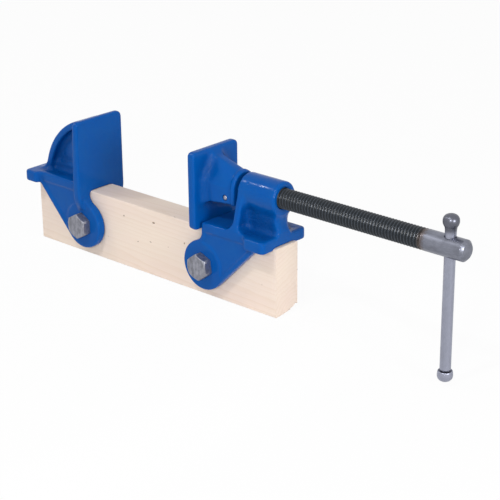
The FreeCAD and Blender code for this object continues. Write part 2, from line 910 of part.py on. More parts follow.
def bevelHexEnd(body, z, upward):
    """Turned bevel that takes the six corners off one end of a hexagon."""
    flat = named("hexAcrossFlats") / 2
    corner = flat * 2 / root(asSize(3))
    drop = named("hexBevelDrop")
    outside = corner + named("cutMargin")
    slope = drop * (outside - flat) / (corner - flat)
    sketch = newSketch(body, "XZ_Plane")
    end = z - slope if upward else z + slope
    corners = [line(flat, z), line(outside, z), line(outside, end)]
    drawLoop(sketch, corners)
    return turned(body, sketch, "Z_Axis", groove=True)


def faceAlongY(body, x, y, z, turn):
    """The body's own +Z is turned to -Y, so a bolt's head faces the near side."""
    place(body, x, y, z)
    body.Placement.Rotation = FreeCAD.Rotation(FreeCAD.Vector(1, 0, 0), 90)
    if turn is not None:
        spin = FreeCAD.Rotation(FreeCAD.Vector(0, 1, 0), turn.number)
        body.Placement.Rotation = spin * body.Placement.Rotation


def makeBolt(label, x, turn=None):
    body = newBody(label)
    height = named("boltHeadHeight")
    length = cheekOutside * 2 + named("nutHeight") + named("boltEndBeyondNut")
    sketch = newSketch(body, "XY_Plane")
    drawLoop(sketch, hexLoop())
    pad(body, sketch, height)
    bevelHexEnd(body, height, True)
    sketch = newSketch(body, "XY_Plane")
    drawCircle(sketch, ZERO, ZERO, named("boltDiameter") / 2)
    pad(body, sketch, length, reverse=True)
    endZ = -length.number
    roundEdges(body, named("boltEndBevel"),
               lambda edge: near(middle(edge).z, endZ), "PartDesign::Chamfer")
    faceAlongY(body, x, -cheekOutside, boltZ, turn)
    return body


def makeNut(label, x, turn=None):
    body = newBody(label)
    height = named("nutHeight")
    sketch = newSketch(body, "XY_Plane")
    drawLoop(sketch, hexLoop())
    pad(body, sketch, height, reverse=True)
    bevelHexEnd(body, -height, False)
    bevelHexEnd(body, ZERO, True)
    sketch = newSketch(body, "XY_Plane")
    drawCircle(sketch, ZERO, ZERO, named("boltDiameter") / 2)
    pocket(body, sketch, symmetric=True)
    faceAlongY(body, x, cheekOutside, boltZ, turn)
    return body


subparts = [
    makeTimberBar(),
    makeFixedHead(),
    makeBolt("fixed_head_bolt", fixedBoltX),
    makeNut("fixed_head_nut", fixedBoltX),
    makeScrewHead(),
    makeBolt("screw_head_bolt", screwBoltX, named("screwBoltTurn")),
    makeNut("screw_head_nut", screwBoltX, named("screwBoltTurn")),
    makeJawPad(),
    makeRetainingPin(),
    makeClampScrew(),
    makeTommyBar(),
    makeTommyCap(),
]

# Every feature has to be sound before anything is written

document.recompute()
for item in document.Objects:
    if "Invalid" in item.State or "Error" in item.State:
        raise RuntimeError(f"{item.Label} failed: {item.State}")
os.makedirs("parts", exist_ok=True)
for body in subparts:
    shape = body.Shape
    if shape.isNull() or not shape.isValid() or len(shape.Solids) != 1:
        raise RuntimeError(f"{body.Label} is not one sound solid")
for body in subparts:
    body.Shape.exportStep(f"parts/{body.Label}.step")
    box = body.Shape.BoundBox
    print(f"{body.Label:20s} volume {body.Shape.Volume:10.1f}  x {box.XMin:.1f} {box.XMax:.1f}"
          f"  y {box.YMin:.1f} {box.YMax:.1f}  z {box.ZMin:.1f} {box.ZMax:.1f}")
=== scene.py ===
import math
import bmesh
import bpy
import numpy as np
import openvdb
from mathutils import Matrix, Vector


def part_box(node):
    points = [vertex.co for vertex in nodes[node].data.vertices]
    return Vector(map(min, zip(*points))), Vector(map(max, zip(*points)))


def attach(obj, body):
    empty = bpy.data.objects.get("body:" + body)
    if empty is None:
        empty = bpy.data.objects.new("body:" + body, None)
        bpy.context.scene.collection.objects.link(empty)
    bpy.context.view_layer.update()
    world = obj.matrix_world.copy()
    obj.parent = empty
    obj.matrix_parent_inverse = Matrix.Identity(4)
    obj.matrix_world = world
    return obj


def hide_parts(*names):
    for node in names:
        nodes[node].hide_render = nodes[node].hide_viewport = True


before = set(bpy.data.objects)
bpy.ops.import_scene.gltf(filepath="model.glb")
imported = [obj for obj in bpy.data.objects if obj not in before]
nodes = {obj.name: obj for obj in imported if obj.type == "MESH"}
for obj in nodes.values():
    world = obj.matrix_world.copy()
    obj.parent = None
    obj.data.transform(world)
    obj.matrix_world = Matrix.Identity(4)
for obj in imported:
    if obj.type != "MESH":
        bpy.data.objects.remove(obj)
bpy.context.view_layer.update()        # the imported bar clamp: metres, X along the bar, Z up
millimetre = 0.001
print("frame loaded")


# Node tree helpers

def addNode(tree, kind, inputs=None, **settings):
    node = tree.nodes.new(kind)
    for key, value in settings.items():
        setattr(node, key, value)
    for key, value in (inputs or {}).items():
        if isinstance(value, bpy.types.NodeSocket):
            tree.links.new(value, node.inputs[key])
        else:
            node.inputs[key].default_value = value
    return node


def startMaterial(name, **constants):
    material = bpy.data.materials.new(name)
    material.use_nodes = True
    tree = material.node_tree
    tree.nodes.clear()
    shader = addNode(tree, "ShaderNodeBsdfPrincipled", constants)
    addNode(tree, "ShaderNodeOutputMaterial", {"Surface": shader.outputs[0]})
    place = addNode(tree, "ShaderNodeTexCoord").outputs["Object"]
    return material, tree, shader, place


def stretched(tree, place, scale, turn=(0, 0, 0)):
    return addNode(tree, "ShaderNodeMapping",
                   {"Vector": place, "Scale": scale, "Rotation": turn}).outputs[0]


# size is the width of one patch in millimetres.
def noiseOf(tree, place, size, detail=3.0, roughness=0.55, distortion=0.0):
    return addNode(tree, "ShaderNodeTexNoise", {
        "Vector": place, "Scale": 1 / (size * millimetre), "Detail": detail,
        "Roughness": roughness, "Distortion": distortion}).outputs["Fac"]


def remap(tree, value, low, high, toLow=0.0, toHigh=1.0):
    return addNode(tree, "ShaderNodeMapRange", {
        "Value": value, "From Min": low, "From Max": high, "To Min": toLow, "To Max": toHigh,
    }).outputs[0]


def calculate(tree, operation, first, second=0.0, third=0.0):
    return addNode(tree, "ShaderNodeMath", {0: first, 1: second, 2: third},
                   operation=operation).outputs[0]


# Distance of a point from an axis, from its two offsets.
def distanceOf(tree, first, second):
    return calculate(tree, "SQRT", calculate(tree, "ADD",
                     calculate(tree, "MULTIPLY", first, first),
                     calculate(tree, "MULTIPLY", second, second)))


def mixColours(tree, share, first, second):
    node = addNode(tree, "ShaderNodeMix", data_type="RGBA")
    for index, value in ((0, share), (6, first), (7, second)):
        if isinstance(value, bpy.types.NodeSocket):
            tree.links.new(value, node.inputs[index])
        elif index == 0:
            node.inputs[index].default_value = value
        else:
            node.inputs[index].default_value = (*value, 1)
    return node.outputs[2]


# distance is the bump's full height in millimetres.
def bumpOf(tree, height, distance, strength=1.0, below=None):
    inputs = {"Height": height, "Distance": distance * millimetre, "Strength": strength}
    if below is not None:
        inputs["Normal"] = below
    return addNode(tree, "ShaderNodeBump", inputs).outputs[0]


def connect(tree, socket, value):
    tree.links.new(value, socket)


# Mesh helpers

def newPiece(name, mesh, body, slot, material, *replaced, smooth=True):
    piece = bpy.data.objects.new(name, mesh)
    bpy.context.scene.collection.objects.link(piece)
    mesh.materials.clear()
    mesh.materials.append(material)
    mesh.polygons.foreach_set("use_smooth", [smooth] * len(mesh.polygons))
    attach(piece, body)
    if replaced:
        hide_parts(*replaced)
    return piece


# Middle of a CAD node's box, on the bar's centre plane.
def axisPoint(node):
    low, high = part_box(node)
    return Vector(((low.x + high.x) / 2, 0, (low.z + high.z) / 2))


# Blender mesh of a bmesh, with its faces turned outward.
def finished(mesh, name):
    bmesh.ops.recalc_face_normals(mesh, faces=mesh.faces)
    result = bpy.data.meshes.new(name)
    mesh.to_mesh(result)
    mesh.free()
    return result


# Closed surface about an axis.
# rows are (height, radius) pairs in millimetres, where radius may be a function of the angle.
# along is the axis, start the direction of angle 0, and centre a point on the axis in metres.
# A hollow one is a ring: its last row joins its first, and no row lies on the axis.
def spunMesh(name, rows, count, centre, along, start, hollow=False):
    along = Vector(along).normalized()
    start = Vector(start).normalized()
    side = along.cross(start)
    angles = [2 * math.pi * i / count for i in range(count)]
    mesh = bmesh.new()
    rings = []
    for height, radius in rows:
        middle = Vector(centre) + along * height * millimetre
        if not callable(radius) and radius < 1e-6:
            rings.append([mesh.verts.new(middle)])
            continue
        ring = []
        for angle in angles:
            reach = (radius(angle) if callable(radius) else radius) * millimetre
            out = start * math.cos(angle) + side * math.sin(angle)
            ring.append(mesh.verts.new(middle + out * reach))
        rings.append(ring)
    pairs = list(zip(rings, rings[1:]))
    if hollow:
        pairs.append((rings[-1], rings[0]))
    for below, above in pairs:
        for i in range(count):
            j = (i + 1) % count
            if len(below) == 1:
                mesh.faces.new((below[0], above[j], above[i]))
            elif len(above) == 1:
                mesh.faces.new((below[i], below[j], above[0]))
            else:
                mesh.faces.new((below[i], below[j], above[j], above[i]))
    return finished(mesh, name)


# Rows along a round edge, with angles in degrees from the axis's own direction.
def arcRows(centreHeight, centreRadius, radius, first, last, steps):
    rows = []
    for i in range(steps + 1):
        angle = math.radians(first + (last - first) * i / steps)
        rows.append((centreHeight + radius * math.cos(angle),
                     centreRadius + radius * math.sin(angle)))
    return rows


# The first mesh with the second cut out of it.
def cutMesh(mesh, cutter, name):
    first = bpy.data.objects.new(name, mesh)
    second = bpy.data.objects.new(name + "Cutter", cutter)
    for item in (first, second):
        bpy.context.scene.collection.objects.link(item)
    modifier = first.modifiers.new("cut", "BOOLEAN")
    modifier.operation = "DIFFERENCE"
    modifier.solver = "EXACT"
    modifier.object = second
    graph = bpy.context.evaluated_depsgraph_get()
    result = bpy.data.meshes.new_from_object(first.evaluated_get(graph))
    for item in (first, second):
        bpy.data.objects.remove(item)
    return result


# Distance fields, which give the castings their soft edges

def nodeTriangles(name):
    mesh = nodes[name].data
    mesh.calc_loop_triangles()
    points = np.empty(len(mesh.vertices) * 3, np.float32)
    mesh.vertices.foreach_get("co", points)
    triangles = np.empty(len(mesh.loop_triangles) * 3, np.uint32)
    mesh.loop_triangles.foreach_get("vertices", triangles)
    return points.reshape(-1, 3) / millimetre, triangles.reshape(-1, 3), None


# Signed distances to a shape's surface, kept as far out as reach, in millimetres.
def levelSet(polygons, voxel, reach):
    points, triangles, quads = polygons
    return openvdb.FloatGrid.createLevelSetFromPolygons(
        points, triangles=triangles, quads=quads,
        transform=openvdb.createLinearTransform(voxelSize=voxel),
        halfWidth=reach / voxel + 3)


# The same shape grown, or shrunk, evenly by a distance in millimetres.
def moved(polygons, voxel, distance):
    grid = levelSet(polygons, voxel, abs(distance))
    return grid.convertToPolygons(isovalue=distance, adaptivity=0)


# Fill inner corners to a fillet's radius and round the outer edges.
def softened(polygons, voxel, fillet, edgeRound):
    shape = moved(polygons, voxel, fillet)
    shape = moved(shape, voxel, -fillet - edgeRound)
    return moved(shape, voxel, edgeRound)


# The same distances as an array on a lattice.
def fieldOf(polygons, voxel, reach, low, shape):
    field = np.empty(shape, np.float32)
    levelSet(polygons, voxel, reach).copyToArray(field, ijk=tuple(int(v) for v in low))
    return field


def polygonsOf(field, voxel, low):
    grid = openvdb.FloatGrid(float(field.max()))
    grid.copyFromArray(field, ijk=tuple(int(v) for v in low))
    grid.transform = openvdb.createLinearTransform(voxelSize=voxel)
    return grid.convertToPolygons(isovalue=0.0, adaptivity=0)


# Lattice that holds a shape: its first index, its size and its X, Y and Z values.
def spaceOf(polygons, voxel, margin):
    low = np.floor((polygons[0].min(0) - margin) / voxel).astype(int)
    high = np.ceil((polygons[0].max(0) + margin) / voxel).astype(int)
    shape = tuple(high - low + 1)
    axes = [(low[i] + np.arange(shape[i])) * voxel for i in range(3)]
    return low, shape, np.meshgrid(*axes, indexing="ij")


# Field values at points, between the lattice's own.
def sampled(field, voxel, low, points):
    at = points / voxel - low
    base = np.clip(np.floor(at).astype(int), 0, np.array(field.shape) - 2)
    part = np.clip(at - base, 0, 1)
    total = np.zeros(len(points))
    for i in (0, 1):
        for j in (0, 1):
            for k in (0, 1):
                weight = (np.abs(1 - i - part[:, 0]) * np.abs(1 - j - part[:, 1])
                          * np.abs(1 - k - part[:, 2]))
                total += weight * field[base[:, 0] + i, base[:, 1] + j, base[:, 2] + k]
    return total


# Blender mesh of a shape in millimetres, with the lattice's small steps smoothed out.
def meshFrom(name, polygons, smoothing):
    points, triangles, quads = polygons
    faces = [tuple(int(v) for v in reversed(face)) for part in (triangles, quads) for face in part]
    mesh = bpy.data.meshes.new(name)
    mesh.from_pydata([tuple(p) for p in points * millimetre], [], faces)
    piece = bpy.data.objects.new(name, mesh)
    bpy.context.scene.collection.objects.link(piece)
    modifier = piece.modifiers.new("smooth", "SMOOTH")
    modifier.iterations = smoothing
    modifier.factor = 0.5
    graph = bpy.context.evaluated_depsgraph_get()
    result = bpy.data.meshes.new_from_object(piece.evaluated_get(graph))
    bpy.data.objects.remove(piece)
    return result


# Blue gloss paint over the castings

paintLook = {
    "blue": (0.0, 0.079, 0.345),
    # the shade colour that is painted into recesses
    "paintedShadeBlue": (0.001, 0.050, 0.225),
    "dustBlue": (0.004, 0.092, 0.345),
    "roughness": (0.09, 0.20),
    "specular": 0.10,
    "peelSize": 1.6,
    "peelHeight": 0.05,
    "waveSize": 7.0,
    "waveHeight": 0.25,
    "gritSize": 1.98,
    "gritHeight": 0.9,
}


def paintMaterial():
    look = paintLook
    material, tree, shader, place = startMaterial("blueCastPaint")
    shader.inputs["Specular IOR Level"].default_value = look["specular"]
    cavity = addNode(tree, "ShaderNodeAttribute", attribute_name="cavity").outputs["Fac"]
    patches = noiseOf(tree, place, 14, 4, 0.6)
    fine = noiseOf(tree, place, 2.2, 3, 0.6)
    dusty = calculate(tree, "MULTIPLY", remap(tree, patches, 0.35, 0.75),
                      remap(tree, patches, 0.30, 0.80, 0.25, 0.75))
    colour = mixColours(tree, dusty, look["blue"], look["dustBlue"])
    # Painted shade: the deeper a point lies below the taut skin, the more its blue turns to the
    # darker shade blue.
    colour = mixColours(tree, remap(tree, cavity, 0.5, 5.0, 0.0, 0.7), colour, look["paintedShadeBlue"])
    connect(tree, shader.inputs["Base Color"], colour)
    rough = calculate(tree, "ADD", remap(tree, patches, 0.3, 0.7, *look["roughness"]),
                      remap(tree, fine, 0.3, 0.7, -0.03, 0.05))
    connect(tree, shader.inputs["Roughness"], rough)
    wave = bumpOf(tree, noiseOf(tree, place, look["waveSize"], 2, 0.4), look["waveHeight"])
    peel = bumpOf(tree, noiseOf(tree, place, look["peelSize"], 2, 0.5), look["peelHeight"],
                  below=wave)
    grit = noiseOf(tree, place, look["gritSize"], 4, 0.65)
    gritty = calculate(tree, "MULTIPLY", grit, remap(tree, cavity, 1.5, 4.5))
    connect(tree, shader.inputs["Normal"], bumpOf(tree, gritty, look["gritHeight"], below=peel))
    return material


# Castings: each is its CAD solid with foundry fillets and soft edges

castingLook = {
    "voxel": 0.6,
    "margin": 4,
    "fieldReach": 6,
    "smoothing": 1,
    "cavityRadius": 16.0,
    "cavityVoxel": 2.0,
    "cavityDepth": 12,
    "fixed_head": {"fillet": 2.8, "edge": 1.1},
    "screw_head": {"fillet": 4.6, "edge": 1.1},
    "jaw_pad": {"fillet": 6.0, "edge": 1.1},
    "cheek": {"fillet": 0.6, "edge": 0.5, "inner": 16.4, "outer": 18.0, "fade": (5, 2)},
    "web": {"top": 8.6, "foot": 4.8, "hollow": 3.0, "plate": 7.7, "blend": 5.5, "front": 54,
            "rearInset": 0.4, "sink": 2, "underBarrel": 8},
    "bore": {"radius": 8.15, "flare": 1.1},
    "collar": {"length": 3.4, "height": 0.9, "slope": 0.6},
    "pinHole": 2.25,
    "pit": (103.8, -9.8, 102.0, 0.75),        # X, Y, Z and radius
}


# 0 below low, 1 above high, and an even curve between them.
def ramp(value, low, high):
    share = np.clip((value - low) / (high - low), 0, 1)
    return share * share * (3 - 2 * share)


# Both shapes, joined by a fillet.
def smoothUnion(first, second, blend):
    share = np.clip(0.5 + 0.5 * (second - first) / blend, 0, 1)
    return second * (1 - share) + first * share - blend * share * (1 - share)


# Vertex attribute: how deep a point lies below a taut skin over the casting, in millimetres.
def addCavity(mesh, source):
    look = castingLook
    voxel, radius, deepest = look["cavityVoxel"], look["cavityRadius"], look["cavityDepth"]
    skin = moved(moved(source, voxel, radius), voxel, -radius)
    low, shape, _ = spaceOf(skin, voxel, look["margin"])
    field = fieldOf(skin, voxel, deepest, low, shape)
    points = np.empty(len(mesh.vertices) * 3, np.float32)
    mesh.vertices.foreach_get("co", points)
    depth = -sampled(field, voxel, low, points.reshape(-1, 3) / millimetre)
    attribute = mesh.attributes.new("cavity", "FLOAT", "POINT")
    attribute.data.foreach_set("value", np.clip(depth, 0, deepest).astype(np.float32))


# The cheeks keep crisp panels, and the rest of the casting gets wide foundry fillets.
# The two meet from inner to outer across the bar, and over the fade's heights above its top.
def makeCasting(node, body, material, shape=None):
    look = castingLook[node]
    cheek = castingLook["cheek"]
    voxel, reach = castingLook["voxel"], castingLook["fieldReach"]
    source = nodeTriangles(node)
    low, size, (x, y, z) = spaceOf(source, voxel, castingLook["margin"])
    field = fieldOf(softened(source, voxel, look["fillet"], look["edge"]),
                    voxel, reach, low, size)
    if node != "jaw_pad":
        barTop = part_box("timber_bar")[1].z / millimetre
        crisp = fieldOf(softened(source, voxel, cheek["fillet"], cheek["edge"]),
                        voxel, reach, low, size)
        fadeEnd, fadeStart = (barTop + height for height in cheek["fade"])
        share = ramp(np.abs(y), cheek["inner"], cheek["outer"]) * ramp(-z, -fadeEnd, -fadeStart)
        field += (crisp - field) * share
    if shape:
        field = shape(field, x, y, z)
    corners = [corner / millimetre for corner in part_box(node)]
    for axis, value in enumerate((x, y, z)):
        field = np.maximum(field, np.maximum(corners[0][axis] - value, value - corners[1][axis]))
    mesh = meshFrom(node + "_casting", polygonsOf(field, voxel, low), castingLook["smoothing"])
    addCavity(mesh, source)
    return newPiece(node + "_casting", mesh, body, "painted_casting", material, node)


# The web below the barrel widens towards it, and a small sand pit marks the barrel.
def shapeScrewHead(field, x, y, z):
    look = castingLook["web"]
    low, high = (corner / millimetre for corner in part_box("screw_head"))
    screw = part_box("clamp_screw")
    axisZ = (screw[0].z + screw[1].z) / 2 / millimetre
    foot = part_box("timber_bar")[1].z / millimetre + look["plate"]
    climb = np.clip((z - foot) / (axisZ - look["underBarrel"] - foot), 0, 1)
    half = look["foot"] + (look["top"] - look["foot"]) * climb
    rear = high.x - look["rearInset"] - look["hollow"] * np.sin(np.pi * climb)
    parts = (np.abs(y) - half, x - rear, low.x + look["front"] - x, z - axisZ,
             foot - look["sink"] - z)
    field = smoothUnion(field, np.maximum.reduce(parts), look["blend"])
    bore = castingLook["bore"]
    boreRadius = bore["radius"] + np.clip(x - (high.x - bore["flare"]), 0, 2)
    field = np.maximum(field, boreRadius - np.hypot(y, z - axisZ))
    px, py, pz, radius = castingLook["pit"]
    pit = np.sqrt((x - px) ** 2 + (y - py) ** 2 + (z - pz) ** 2)
    return np.maximum(field, radius - pit)


# A raised collar ends the hub, and the pin's hole is drilled through the fillets again.
def shapePad(field, x, y, z):
    look = castingLook["collar"]
    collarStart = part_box("jaw_pad")[1].x / millimetre - look["length"]
    field = field - look["height"] * ramp(x, collarStart - look["slope"],
                                          collarStart + look["slope"])
    low, high = (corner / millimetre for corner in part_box("pad_retaining_pin"))
    hole = castingLook["pinHole"] - np.hypot(x - (low.x + high.x) / 2, z - (low.z + high.z) / 2)
    return np.maximum(field, hole)


castPaint = paintMaterial()
makeCasting("fixed_head", "frame", castPaint)
makeCasting("screw_head", "frame", castPaint, shapeScrewHead)
makeCasting("jaw_pad", "pad", castPaint, shapePad)
print("castings made")


# Pine bar

timberLook = {
    "early": (0.84, 0.72, 0.615),
    "late": (0.72, 0.555, 0.42),
    "pink": (0.83, 0.69, 0.605),
    "speck": (0.20, 0.12, 0.07),
    "ringWidth": 3.6,
    "pith": (0.021, -0.028),        # Y and Z of the tree's middle, in metres
    "ringTilt": 0.03,
    "chips": 17,
    "chipDepth": (0.5, 6.2),        # at the near side, and what the back adds
    "chipRise": (0.4, 7.4),
}


def timberMaterial():
    look = timberLook
    material, tree, shader, place = startMaterial("planedPine", Roughness=0.62)
    shader.inputs["Specular IOR Level"].default_value = 0.25
    long = stretched(tree, place, (0.06, 1, 1))
    drift = noiseOf(tree, long, 22, 2, 0.5)
    ripple = noiseOf(tree, stretched(tree, place, (0.14, 1, 1)), 7, 3, 0.5)
    split = addNode(tree, "ShaderNodeSeparateXYZ", {"Vector": place})
    across = calculate(tree, "SUBTRACT", split.outputs["Y"], look["pith"][0])
    upward = calculate(tree, "SUBTRACT", split.outputs["Z"], look["pith"][1])
    tilt = calculate(tree, "MULTIPLY", split.outputs["X"], look["ringTilt"])
    upward = calculate(tree, "ADD", upward, tilt)
    fromPith = distanceOf(tree, across, upward)
    shifted = calculate(tree, "ADD", fromPith, remap(tree, drift, 0.0, 1.0, -0.007, 0.007))
    shifted = calculate(tree, "ADD", shifted, remap(tree, ripple, 0.0, 1.0, -0.0012, 0.0012))
    ring = calculate(tree, "FRACT", calculate(tree, "DIVIDE", shifted,
                                              look["ringWidth"] * millimetre))
    late = calculate(tree, "POWER", ring, 3.0)
    fibre = noiseOf(tree, stretched(tree, place, (0.03, 1, 1)), 0.7, 3, 0.6)
    blotch = noiseOf(tree, stretched(tree, place, (0.35, 1, 1)), 26, 2, 0.5)
    colour = mixColours(tree, remap(tree, blotch, 0.35, 0.7), look["early"], look["pink"])
    colour = mixColours(tree, calculate(tree, "MULTIPLY", late,
                        remap(tree, drift, 0.3, 0.7, 0.12, 0.48)), colour, look["late"])
    colour = mixColours(tree, remap(tree, fibre, 0.5, 0.85, 0.0, 0.30), colour, look["late"])
    speck = noiseOf(tree, stretched(tree, place, (0.5, 1, 1)), 3.4, 1, 0.2)
    colour = mixColours(tree, remap(tree, speck, 0.80, 0.815, 0.0, 0.8), colour, look["speck"])
    connect(tree, shader.inputs["Base Color"], colour)
    grain = bumpOf(tree, fibre, 0.10, 0.8)
    sawn = addNode(tree, "ShaderNodeTexWave", {
        "Vector": place, "Scale": 260.0, "Distortion": 2.2, "Detail": 2.0},
        wave_type="BANDS", bands_direction="Z").outputs["Fac"]
    normal = addNode(tree, "ShaderNodeNewGeometry").outputs["True Normal"]
    facing = addNode(tree, "ShaderNodeSeparateXYZ", {"Vector": normal})
    onEnd = calculate(tree, "GREATER_THAN", calculate(tree, "ABSOLUTE", facing.outputs["X"]), 0.7)
    saw = bumpOf(tree, calculate(tree, "MULTIPLY", sawn, onEnd), 0.12, 0.7, below=grain)
    connect(tree, shader.inputs["Normal"], saw)
    return material


# Copy of a CAD node's mesh with its seams joined.
def plainMesh(node):
    mesh = bmesh.new()
    mesh.from_mesh(nodes[node].data)
    bmesh.ops.remove_doubles(mesh, verts=mesh.verts, dist=1e-6)
    return finished(mesh, node + "_copy")


# Jagged solid where the saw tore the lower corner of the bar's end, deeper towards the back.
def splinterCutter(endX, frontY, backY):
    look = timberLook
    rng = np.random.default_rng(7)
    mesh = bmesh.new()
    chipWidth = (backY - frontY) / look["chips"]
    (nearDepth, moreDepth), (nearRise, moreRise) = look["chipDepth"], look["chipRise"]
    sections = []
    for i in range(look["chips"]):
        share = (i + 0.5) / look["chips"]
        depth = (nearDepth + moreDepth * share ** 1.3 * rng.uniform(0.6, 1.0)) * millimetre
        rise = (nearRise + moreRise * share ** 2.0 * rng.uniform(0.6, 1.0)) * millimetre
        left = frontY + i * chipWidth
        for y in (left + 0.02 * millimetre, left + 0.86 * chipWidth):
            slant = rng.uniform(-0.3, 0.6) * millimetre * share
            points = [(endX + millimetre, y, -millimetre), (endX + millimetre, y, rise + slant),
                      (endX - depth * 0.8, y, rise * 0.85 + slant), (endX - depth, y, -millimetre)]
            sections.append([mesh.verts.new(p) for p in points])
    last = [(v.co.x, backY + millimetre, v.co.z) for v in sections[-1]]
    sections.append([mesh.verts.new(p) for p in last])
    for near, far in zip(sections, sections[1:]):
        for k in range(4):
            after = (k + 1) % 4
            mesh.faces.new((near[after], near[k], far[k], far[after]))
    mesh.faces.new(sections[0])
    mesh.faces.new(list(reversed(sections[-1])))
    return finished(mesh, "splinters")


def makeTimber():
    low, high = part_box("timber_bar")
    mesh = cutMesh(plainMesh("timber_bar"), splinterCutter(high.x, low.y, high.y), "pineBar")
    return newPiece("pine_bar", mesh, "frame", "pine", timberMaterial(), "timber_bar",
                    smooth=False)


makeTimber()
print("timber made")


# Screw: rolled thread with worn crests, bright plain end with a cross hole

screwLook = {
    "pitch": 2.72,
    "threadDepth": 1.25,
    "threadEnd": 262.4,
    "runOut": 3.2,
    "rootWidth": 0.72,        # a power: under 1, the roots are wider than the crests
    "neck": 7.0,
    "neckShown": 3.0,
    "bevel": 1.8,
    "rowsPerTurn": 14,
    "segments": 80,
    "wear": (7.35, 7.98),        # distances from the axis where black turns to worn crest
    "bareFrom": (260.0, 262.2),
    "rustFrom": (257.0, 260.5),
    "rustTo": (264.5, 262.5),
    "crossHole": {"radius": 4.3, "sink": 5.0, "mouth": 5.2},
    "black": (0.008, 0.012, 0.017),
    "crest": (0.06, 0.07, 0.085),
    "bare": (0.23, 0.24, 0.29),
    "rust": (0.105, 0.070, 0.052),
}


# Share of the thread's depth that is cut away at a phase of one turn: round crest, round root.
def threadShape(phase):
    wave = 0.5 - 0.5 * math.cos(2 * math.pi * phase)
    return wave ** screwLook["rootWidth"]


def screwRows():
    look = screwLook
    low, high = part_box("clamp_screw")
    start, end = low.x / millimetre, high.x / millimetre
    major = (high.z - low.z) / 2 / millimetre
    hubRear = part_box("jaw_pad")[1].x / millimetre
    threadStart = hubRear + look["neckShown"]
    neck = look["neck"]
    rows = [(start, 0), (start, neck - 1), (start + 1, neck), (hubRear + 0.6, neck),
            (hubRear + 1.4, major - look["threadDepth"])]
    pitch = look["pitch"]
    step = pitch / look["rowsPerTurn"]
    count = int((look["threadEnd"] - threadStart) / step)
    for i in range(count + 1):
        x = threadStart + i * step
        fade = min(1.0, (x - threadStart) / pitch + 0.45,
                   max(0.0, (look["threadEnd"] - x) / look["runOut"]))

        def radius(angle, x=x, fade=fade):
            phase = (x / pitch - angle / (2 * math.pi)) % 1.0
            return major - look["threadDepth"] * fade * threadShape(phase)
        rows.append((x, radius))
    bevel = look["bevel"]
    rows += [(look["threadEnd"] + 0.4, major)]
    rows += [(look["threadEnd"] + (end - bevel - look["threadEnd"]) * i / 40, major)
             for i in range(1, 40)]
    rows += arcRows(end - bevel - 0.3, major - 0.5, 0.5, 90, 45, 3)
    rows += arcRows(end - 0.4, major - bevel - 0.4, 0.4, 45, 0, 3)
    rows += [(end, 3.0), (end, 0)]
    return rows


# The tommy bar's hole, with its mouths sunk a little.
def crossHoleCutter():
    hole = screwLook["crossHole"]
    centre = Vector((axisPoint("tommy_bar").x, 0, axisPoint("clamp_screw").z))
    half = [(7.1, hole["radius"]), (8.0, hole["sink"]), (12, hole["mouth"]), (12, 0)]
    rows = [(-height, radius) for height, radius in reversed(half)] + half
    return spunMesh("crossHole", rows, 48, centre, (0, 0, 1), (1, 0, 0))


def screwMaterial():
    look = screwLook
    material, tree, shader, place = startMaterial("blackScrew")
    shader.inputs["Specular IOR Level"].default_value = 0.3
    split = addNode(tree, "ShaderNodeSeparateXYZ", {"Vector": place})
    upward = calculate(tree, "SUBTRACT", split.outputs["Z"], axisPoint("clamp_screw").z)
    radius = distanceOf(tree, split.outputs["Y"], upward)
    scuff = noiseOf(tree, place, 3.0, 4, 0.6)
    wearStart, wearEnd = (distance * millimetre for distance in look["wear"])
    crestLow = calculate(tree, "ADD", wearStart, remap(tree, scuff, 0.3, 0.7, -0.0003, 0.0004))
    crest = addNode(tree, "ShaderNodeMapRange", {
        "Value": radius, "From Min": crestLow, "From Max": wearEnd},
        interpolation_type="SMOOTHSTEP").outputs[0]
    plain = calculate(tree, "ADD", split.outputs["X"],
                      remap(tree, noiseOf(tree, place, 1.4, 3, 0.6), 0.3, 0.7, -0.0012, 0.0012))
    bare, rustStart, rustEnd = (remap(tree, plain, *(x * millimetre for x in look[band]))
                                for band in ("bareFrom", "rustFrom", "rustTo"))
    rusty = calculate(tree, "MULTIPLY", rustStart, rustEnd)
    stain = noiseOf(tree, stretched(tree, place, (0.4, 1, 1)), 6, 4, 0.65)
    bareColour = mixColours(tree, remap(tree, stain, 0.35, 0.7), look["bare"],
                            tuple(v * 0.62 for v in look["bare"]))
    dark = mixColours(tree, calculate(tree, "MULTIPLY", crest, 0.85), look["black"], look["crest"])
    colour = mixColours(tree, bare, dark, bareColour)
    colour = mixColours(tree, calculate(tree, "MULTIPLY", rusty, 0.55), colour, look["rust"])
    connect(tree, shader.inputs["Base Color"], colour)
    metal = calculate(tree, "MAXIMUM", remap(tree, bare, 0.0, 1.0, 0.0, 0.95),
                      calculate(tree, "MULTIPLY", crest, 0.5))
    connect(tree, shader.inputs["Metallic"], metal)
    rough = calculate(tree, "ADD", remap(tree, bare, 0.0, 1.0, 0.24, 0.34),
                      remap(tree, scuff, 0.3, 0.7, -0.05, 0.08))
    connect(tree, shader.inputs["Roughness"], rough)
    turning = noiseOf(tree, stretched(tree, place, (1, 0.08, 0.08)), 0.35, 2, 0.5)
    connect(tree, shader.inputs["Normal"], bumpOf(tree, turning, 0.02, 0.6))
    return material


def makeScrew():
    centre = (0, 0, axisPoint("clamp_screw").z)
    mesh = spunMesh("screw", screwRows(), screwLook["segments"], centre, (1, 0, 0), (0, -1, 0))
    mesh = cutMesh(mesh, crossHoleCutter(), "screwBlank")
    return newPiece("threaded_screw", mesh, "screw", "black_steel", screwMaterial(), "clamp_screw")


makeScrew()
print("screw made")


# Bright steel: tommy bar, its cap and the pad's pin

steelLook = {
    "bright": (0.33, 0.345, 0.425),
    "dull": (0.26, 0.27, 0.33),
    "roughness": (0.28, 0.44),
    "darkKnobFrom": (13.9, 11.4),        # below the knob's top, where the colour turns darker over the knob
    "darkKnobShare": 0.85,
    "darkKnobScale": 0.35,
}

